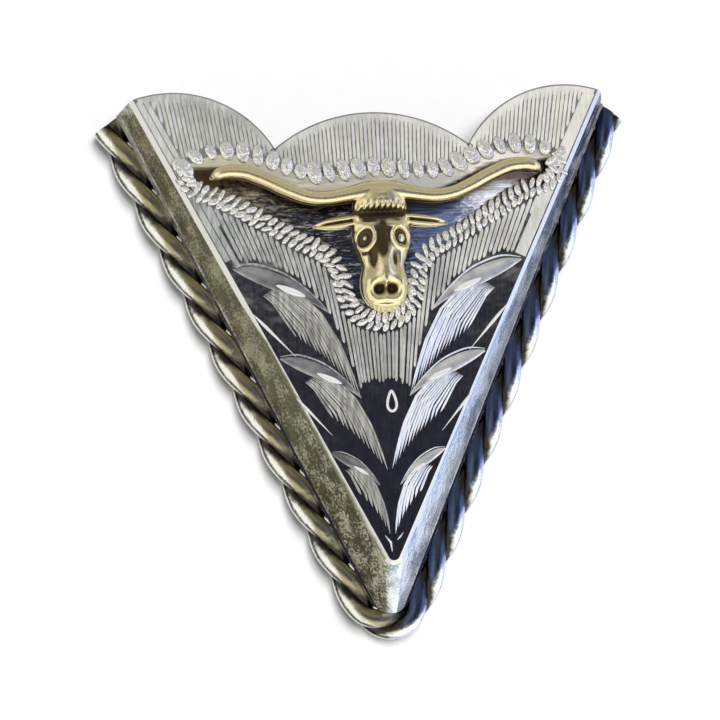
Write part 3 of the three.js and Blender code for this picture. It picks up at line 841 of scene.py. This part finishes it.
middle = rope_edge.inset(ROPE_DIAMETER / 2)
side, arc = middle.lengths(UNCUT_TOP_Y)
total = 2 * side + arc
steps = round(total / STRAND_PITCH * STEPS_PER_TURN)
rope_shapes = Shapes()
for phase in (STRAND_PHASE, STRAND_PHASE + math.pi):
    centres = []
    for i in range(steps + 1):
        distance = total * i / steps
        (x, y), (run_x, run_y) = middle.at(distance, UNCUT_TOP_Y)
        turn = 2 * math.pi * distance / STRAND_PITCH + phase
        off = COIL * math.cos(turn)
        z = ROPE_DIAMETER / 2 + COIL * math.sin(turn)
        centres.append(Vector((x + run_y * off, y - run_x * off, z)))
    rings = []
    for i, centre in enumerate(centres):
        forward = (centres[min(i + 1, steps)] - centres[max(i - 1, 0)]).normalized()
        across = forward.cross(Vector((0, 0, 1))).normalized()
        up = across.cross(forward)
        rings.append(
            [
                tuple(centre + STRAND_RADIUS * (across * math.cos(a) + up * math.sin(a)))
                for a in np.linspace(0, 2 * math.pi, STRAND_SIDES, endpoint=False)
            ]
        )
    rope_shapes.skin(rings)
rope = rope_shapes.make("rope_edging", 50)
bm = bmesh.new()
bm.from_mesh(rope.data)
for side in (-1, 1):
    plane = {"plane_co": Vector((side * CORNER_X, half_edge[0][1] - END_INSET, 0)) * MM}
    plane["plane_no"] = Vector((side * CUT_SLOPE, 1, 0)).normalized()
    everything = bm.verts[:] + bm.edges[:] + bm.faces[:]
    bmesh.ops.bisect_plane(bm, geom=everything, clear_outer=True, **plane)
    rims = [edge for edge in bm.edges if edge.is_boundary]
    bmesh.ops.holes_fill(bm, edges=rims)
# How far a point stands out from the middle of the rope, and how far to its outer side.
stand = bm.verts.layers.float.new("stand")
outer = bm.verts.layers.float.new("outer")
for vert in bm.verts:
    x, y, z = vert.co / MM
    if y < middle.centre_y - abs(x) * math.tan(middle.half_angle):
        off = math.hypot(x, y - middle.centre_y) - middle.radius
    else:
        off = (abs(x) - middle.side_x(y)) * math.cos(middle.half_angle)
    vert[stand] = math.hypot(off, z - ROPE_DIAMETER / 2) / (ROPE_DIAMETER / 2)
    vert[outer] = off / (ROPE_DIAMETER / 2)
bm.to_mesh(rope.data)
bm.free()
shade(rope, 50)

metal = Metal("rope_silver")
stand_out = metal.add("ShaderNodeAttribute", {"attribute_name": "stand"})["Fac"]
outward = metal.add("ShaderNodeAttribute", {"attribute_name": "outer"})["Fac"]
streak = metal.noise(metal.place, 1.6, 4.0, 0.6)
# The wires are painted dark where they press on each other and on the shell, as grime and painted
# shade. Their outer flanks are near white, partly rubbed and partly a painted highlight, and the
# rest is tarnish tinted by a painted reflection, olive on the left and navy on the right.
clear_of_dirt_and_painted_shade = (stand_out + streak * 0.3).step(0.80, 1.04)
rubbed_and_painted_highlight = (outward + streak * 0.4).step(0.36, 0.70)
on_right = metal.add("ShaderNodeSeparateXYZ", {}, {0: metal.place})["X"].step(-1.5, 1.5)
tarnish_and_painted_reflection = on_right.mix((0.46, 0.41, 0.26, 1), (0.09, 0.12, 0.22, 1))
colour = clear_of_dirt_and_painted_shade.mix((0.06, 0.055, 0.05, 1), rubbed_and_painted_highlight.mix(tarnish_and_painted_reflection, (0.95, 0.95, 0.95, 1)))
rope_silver = metal.finish(colour, 0.30 - rubbed_and_painted_highlight * 0.16, metal.bump(streak, 0.06))
rope.data.materials.append(rope_silver)
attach(rope, "root")
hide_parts("front_shell")

# Longhorn head: cast, gold-plated and polished, with dark left in its hollows. It is
# pinned to the polished ground inside the border.
HEAD_BASE_Z = 4.6
HEAD_TOP = 1.40
HEAD_X = 0.3
HORN = [
    (-0.2, 12.85, 0.74, 1.00), (1.0, 12.85, 0.76, 1.05), (2.2, 12.65, 0.62, 0.98),
    (4.0, 12.40, 0.55, 0.90), (5.5, 12.55, 0.54, 0.88), (7.0, 13.15, 0.56, 0.85),
    (8.5, 13.90, 0.57, 0.82), (10.0, 14.50, 0.57, 0.80), (11.3, 14.60, 0.52, 0.75),
    (12.1, 14.40, 0.42, 0.60), (12.6, 14.12, 0.10, 0.0),
]
SKULL = [
    (0, 13.35, 0.9, 0.0), (0, 12.95, 1.5, 1.1), (0, 12.3, 1.95, 1.26), (0, 11.7, 2.1, 1.22),
    (0, 11.1, 2.15, 1.12), (0, 10.2, 2.25, 1.22),
    (0, 9.2, 2.2, 1.16), (0, 8.2, 1.95, 1.14), (0, 7.2, 1.60, 1.18), (0, 6.2, 1.8, 1.28),
    (0, 5.2, 1.75, 1.18), (0, 4.4, 1.35, 0.85), (0, 3.75, 0.5, 0.0),
]
EAR = [
    (1.6, 10.75, 0.4, 0.8), (2.8, 10.6, 0.52, 0.7), (4.0, 10.45, 0.42, 0.55),
    (5.15, 10.3, 0.08, 0.0),
]


def hill(x, y, x0, y0, wide, long):
    return np.exp(-(((x - x0) / wide) ** 2) - ((y - y0) / long) ** 2)


def face_detail(x, y):
    """Heights over the plain skull: brows, eyes, bridge, nostrils, mouth and forelock."""
    side = abs(x)
    eye = np.hypot(side - 1.38 + 0.2 * (y - 9.25), (y - 9.25) * 0.82)
    lock = (x + 0.12 * np.sin(3 * y)) / 0.42
    forelock = hill(x, y, 0, 11.55, 1.8, 0.36)
    return (
        0.22 * hill(side, y, 1.2, 10.25, 0.70, 0.20)
        - 0.40 * np.exp(-((eye / 0.75) ** 2))
        + 0.28 * np.exp(-(((eye - 0.66) / 0.13) ** 2))
        + 0.22 * np.exp(-((eye / 0.28) ** 2))
        - 0.16 * hill(x, y, 0, 9.2, 0.35, 1.0)
        + 0.22 * hill(x, y, 0, 7.2, 0.55, 0.9)
        - 0.30 * hill(side, y, 0.85, 7.6, 0.30, 0.7)
        + 0.16 * hill(side, y, 1.25, 5.9, 0.35, 0.6)
        - 0.85 * hill(side, y, 0.46, 5.45, 0.46, 0.46)
        + 0.20 * hill(x, y, 0, 6.1, 0.16, 0.3)
        - 0.14 * hill(x, y, 0, 4.45, 1.0, 0.10)
        - 0.45 * hill(x, y, 0, 11.2, 2.3, 0.30)
        + forelock * 0.16 * np.cos(2 * math.pi * lock)
    )


def face_stain_and_painted_light(x, y):
    """Dark left in the forelock, on the forehead and beside the bridge, painted shade down the left
    side of the face, and a painted highlight that lightens the right cheek.
    """
    return (
        0.30 * hill(x, y, -0.1, 11.1, 2.2, 0.42)
        + 0.11 * hill(x, y, -0.3, 10.2, 1.5, 0.55)
        + 0.12 * hill(x, y, -0.2, 8.4, 0.75, 1.1)
        + 0.11 * hill(x, y, -1.7, 8.6, 0.6, 1.5)
        - 0.05 * hill(x, y, 1.5, 7.6, 0.5, 1.6)
    )


def no_stain(x, y):
    return 0 * x


def horn_detail(x, y):
    """The crease between the horns."""
    return -0.25 * hill(x, y, 0, 12.2, 0.18, 0.5)


def ear_detail(x, y):
    """The groove along the ear."""
    return -0.34 * np.exp(-(((y - 10.9 + 0.115 * abs(x)) / 0.14) ** 2)) * (abs(x) > 1.9)


def add_cast(shapes, rows, across, along, detail, stain_and_painted_light=no_stain):
    """A smooth relief along rows of x, y, half width and height, closed by a flat base."""
    rows = smooth_path(rows, along)
    heading = np.gradient(rows[:, :2], axis=0)
    heading /= np.linalg.norm(heading, axis=1, keepdims=True)
    t = np.linspace(-1, 1, across)
    half = np.maximum(rows[:, 2:3], 0.02)
    x = rows[:, :1] + heading[:, 1:] * half * t
    y = rows[:, 1:2] - heading[:, :1] * half * t
    arch = np.sqrt(np.clip(1 - np.abs(t) ** 2.3, 0, 1))
    plain = np.maximum(rows[:, 3:4], 0) * arch
    fade = np.clip(plain / 0.5, 0, 1)
    z = np.minimum(np.maximum(plain + detail(x, y) * fade, 0), HEAD_TOP)
    z[0] = z[-1] = 0
    blurred = sum(np.roll(z, (i, j), (0, 1)) for i in (-4, 0, 4) for j in (-4, 0, 4)) / 9
    start = len(shapes.vertices)
    shapes.vertices.extend(zip(x.ravel() + HEAD_X, y.ravel(), HEAD_BASE_Z + z.ravel()))
    # Dark shares: patina in the hollows plus the given stains, which on the face also hold painted
    # shade and a painted highlight.
    shapes.hollows.extend(((blurred - z) * fade + stain_and_painted_light(x, y)).ravel())
    index = start + np.arange(z.size).reshape(z.shape)
    shapes.faces.extend(
        zip(index[:-1, :-1].flat, index[:-1, 1:].flat, index[1:, 1:].flat, index[1:, :-1].flat)
    )
    rim = [*index[0], *index[1:, -1], *index[-1, -2::-1], *index[-2:0:-1, 0]]
    shapes.faces.append(tuple(int(i) for i in rim[::-1]))


cast = Shapes()
cast.hollows = []
add_cast(cast, SKULL, 61, 10, face_detail, face_stain_and_painted_light)
for side in (1, -1):
    add_cast(cast, [(side * x, *rest) for x, *rest in HORN], 25, 8, horn_detail)
    add_cast(cast, [(side * x, *rest) for x, *rest in EAR], 21, 10, ear_detail)
cast.faces = [tuple(int(i) for i in face) for face in cast.faces]
head = cast.make("longhorn", 80)
hollow = head.data.attributes.new("hollow", "FLOAT", "POINT")
hollow.data.foreach_set("value", np.array(cast.hollows, np.float32))

metal = Metal("antique_gold")
hollow_and_light_share = metal.add("ShaderNodeAttribute", {"attribute_name": "hollow"})["Fac"]
cloud = metal.noise(metal.place, 1.2, 4.0, 0.6)
dark = (hollow_and_light_share * 6.0 + cloud * 0.5).step(0.38, 0.74)
colour = dark.mix((0.95, 0.83, 0.53, 1), (0.10, 0.07, 0.04, 1))
gold = metal.finish(colour, dark * 0.25 + cloud * 0.12 + 0.16, metal.bump(cloud, 0.04), 0.9)
head.data.materials.append(gold)
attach(head, "root")
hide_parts("longhorn_head")

# Back plate: a plain plate with the brushed finish of rolled sheet, sunk between the
# skirts. Its solid has the right shape and stays.
metal = Metal("brushed_back")
grain = metal.noise(metal.stretched(metal.place, 14.0, 0.35, 1.0), 1.0, 4.0, 0.6)
cloud = metal.noise(metal.place, 0.3, 3.0)
colour = (grain * 0.5 + cloud * 0.5).mix((0.50, 0.50, 0.51, 1), (0.84, 0.84, 0.85, 1))
brushed = metal.finish(colour, grain * 0.3 + 0.18, metal.bump(grain, 0.02))
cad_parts["back_plate"].material_slots[0].material = brushed

# Clamp screw: one turned steel piece through the back plate, with the rings of the lathe.
# It presses on the collar. Its solid has the right shape and stays.
SCREW_Y = 3.0
metal = Metal("turned_steel")
place = metal.add("ShaderNodeSeparateXYZ", {}, {0: metal.place})
across, up = place["X"], place["Y"] - SCREW_Y
radius = (across * across + up * up).maths("SQRT")
rings = (radius * 26.0).maths("SINE")
cloud = metal.noise(metal.place, 0.9, 3.0)
colour = (rings * 0.15 + cloud).mix((0.36, 0.36, 0.38, 1), (0.74, 0.74, 0.76, 1))
turned = metal.finish(colour, cloud * 0.25 + 0.15, metal.bump(rings, 0.01))
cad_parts["clamp_screw"].material_slots[0].material = turned

# Surface: a plain pale paper sheet that the tip lies on. The metal doesn't mirror it, and
# the room's own floor tone stands in for it there.
REACH = 900
THICKNESS = 3.0
shapes = Shapes()
sheet = [(-REACH, -REACH), (REACH, -REACH), (REACH, REACH), (-REACH, REACH)]
floor_z = cad_box[0][2] / MM
shapes.skin([[(x, y, floor_z + z) for x, y in sheet] for z in (-THICKNESS, 0.0)])
floor = shapes.make("surface")
metal = Metal("pale_paper")
grain = metal.noise(metal.place, 0.6, 3.0)
colour = grain.mix((0.90, 0.90, 0.90, 1), (0.93, 0.93, 0.93, 1))
sockets = {"Base Color": colour, "Roughness": 0.9}
shader = metal.add("ShaderNodeBsdfPrincipled", {}, sockets)[0]
metal.add("ShaderNodeOutputMaterial", {}, {"Surface": shader})
floor.data.materials.append(metal.material)
floor.visible_glossy = False

# Light: one broad soft light above the surface. The room that the metal mirrors is dark
# straight above, cream on the left and white on the right, with brown and blue low down.
soft = bpy.data.lights.new("soft_light", "AREA")
soft.shape = "DISK"
soft.size = 1.8
soft.energy = 94.0
soft_light = bpy.data.objects.new("soft_light", soft)
soft_light.location = (0.42, 0.78, 3.0)
soft_light.rotation_euler = soft_light.location.to_track_quat("Z", "Y").to_euler()
soft_light.visible_camera = False
soft_light.visible_glossy = False
bpy.context.scene.collection.objects.link(soft_light)

world = bpy.data.worlds.new("studio")
world.use_nodes = True
bpy.context.scene.world = world
tree = Tree(world.node_tree)
way = tree.add("ShaderNodeTexCoord")["Generated"]
axis = tree.add("ShaderNodeSeparateXYZ", {}, {0: way})
x, y, z = axis["X"], axis["Y"], axis["Z"]
mottle = tree.add("ShaderNodeTexNoise", {}, {"Vector": way, "Scale": 5.0, "Detail": 3.0})[0]
on_right = x.step(-0.12, 0.12)
off_x, off_y = x - 0.17, y - 0.06
off = (off_x * off_x + off_y * off_y).maths("SQRT")
behind = y.step(0.30, 0.55)
sky = mottle.step(0.38, 0.60).mix((0.18, 0.35, 0.82, 1), (0.95, 1.05, 1.30, 1))
sky = behind.mix(sky, (0.62, 0.64, 0.68, 1))
margin = on_right.mix((0.34, 0.30, 0.18, 1), (0.13, 0.18, 0.36, 1))
cap = off.step(0.24, 0.38).mix((0.018, 0.018, 0.030, 1), margin)
pale = y.step(0.11, 0.17) * x.step(-0.08, 0.02) * (1 - x.step(0.40, 0.50))
cap = pale.mix(cap, (0.36, 0.36, 0.34, 1))
right_ring = z.step(0.25, 0.50).mix(sky, (1.15, 1.15, 1.25, 1))
ring = on_right.mix((0.95, 0.94, 0.86, 1), right_ring)
ring = y.step(0.15, 0.60).mix(ring, (0.34, 0.33, 0.26, 1))
toward_point = (0 - y).step(0.28, 0.42) * x.step(-0.35, -0.10)
ring = toward_point.mix(ring, (1.25, 1.22, 1.10, 1))
above = off.step(0.56, 0.70).mix(cap, ring)
brown = mottle.step(0.40, 0.62).mix((0.045, 0.04, 0.022, 1), (0.26, 0.24, 0.14, 1))
brown = behind.mix(brown, (0.34, 0.34, 0.33, 1))
below = z.step(-0.74, -0.52).mix((0.80, 0.80, 0.80, 1), on_right.mix(brown, sky))
mirrored_room = (z + on_right * 0.28).step(-0.02, 0.10).mix(below, above)
ray = tree.add("ShaderNodeLightPath")
room = ray["Is Diffuse Ray"].mix(mirrored_room, (0.24, 0.24, 0.24, 1))
colour = ray["Is Camera Ray"].mix(room, (0.96, 0.96, 0.96, 1))
background = tree.add("ShaderNodeBackground", {}, {"Color": colour, "Strength": 1.0})[0]
tree.add("ShaderNodeOutputWorld", {}, {"Surface": background})
bpy.context.scene.view_settings.view_transform = "Standard"
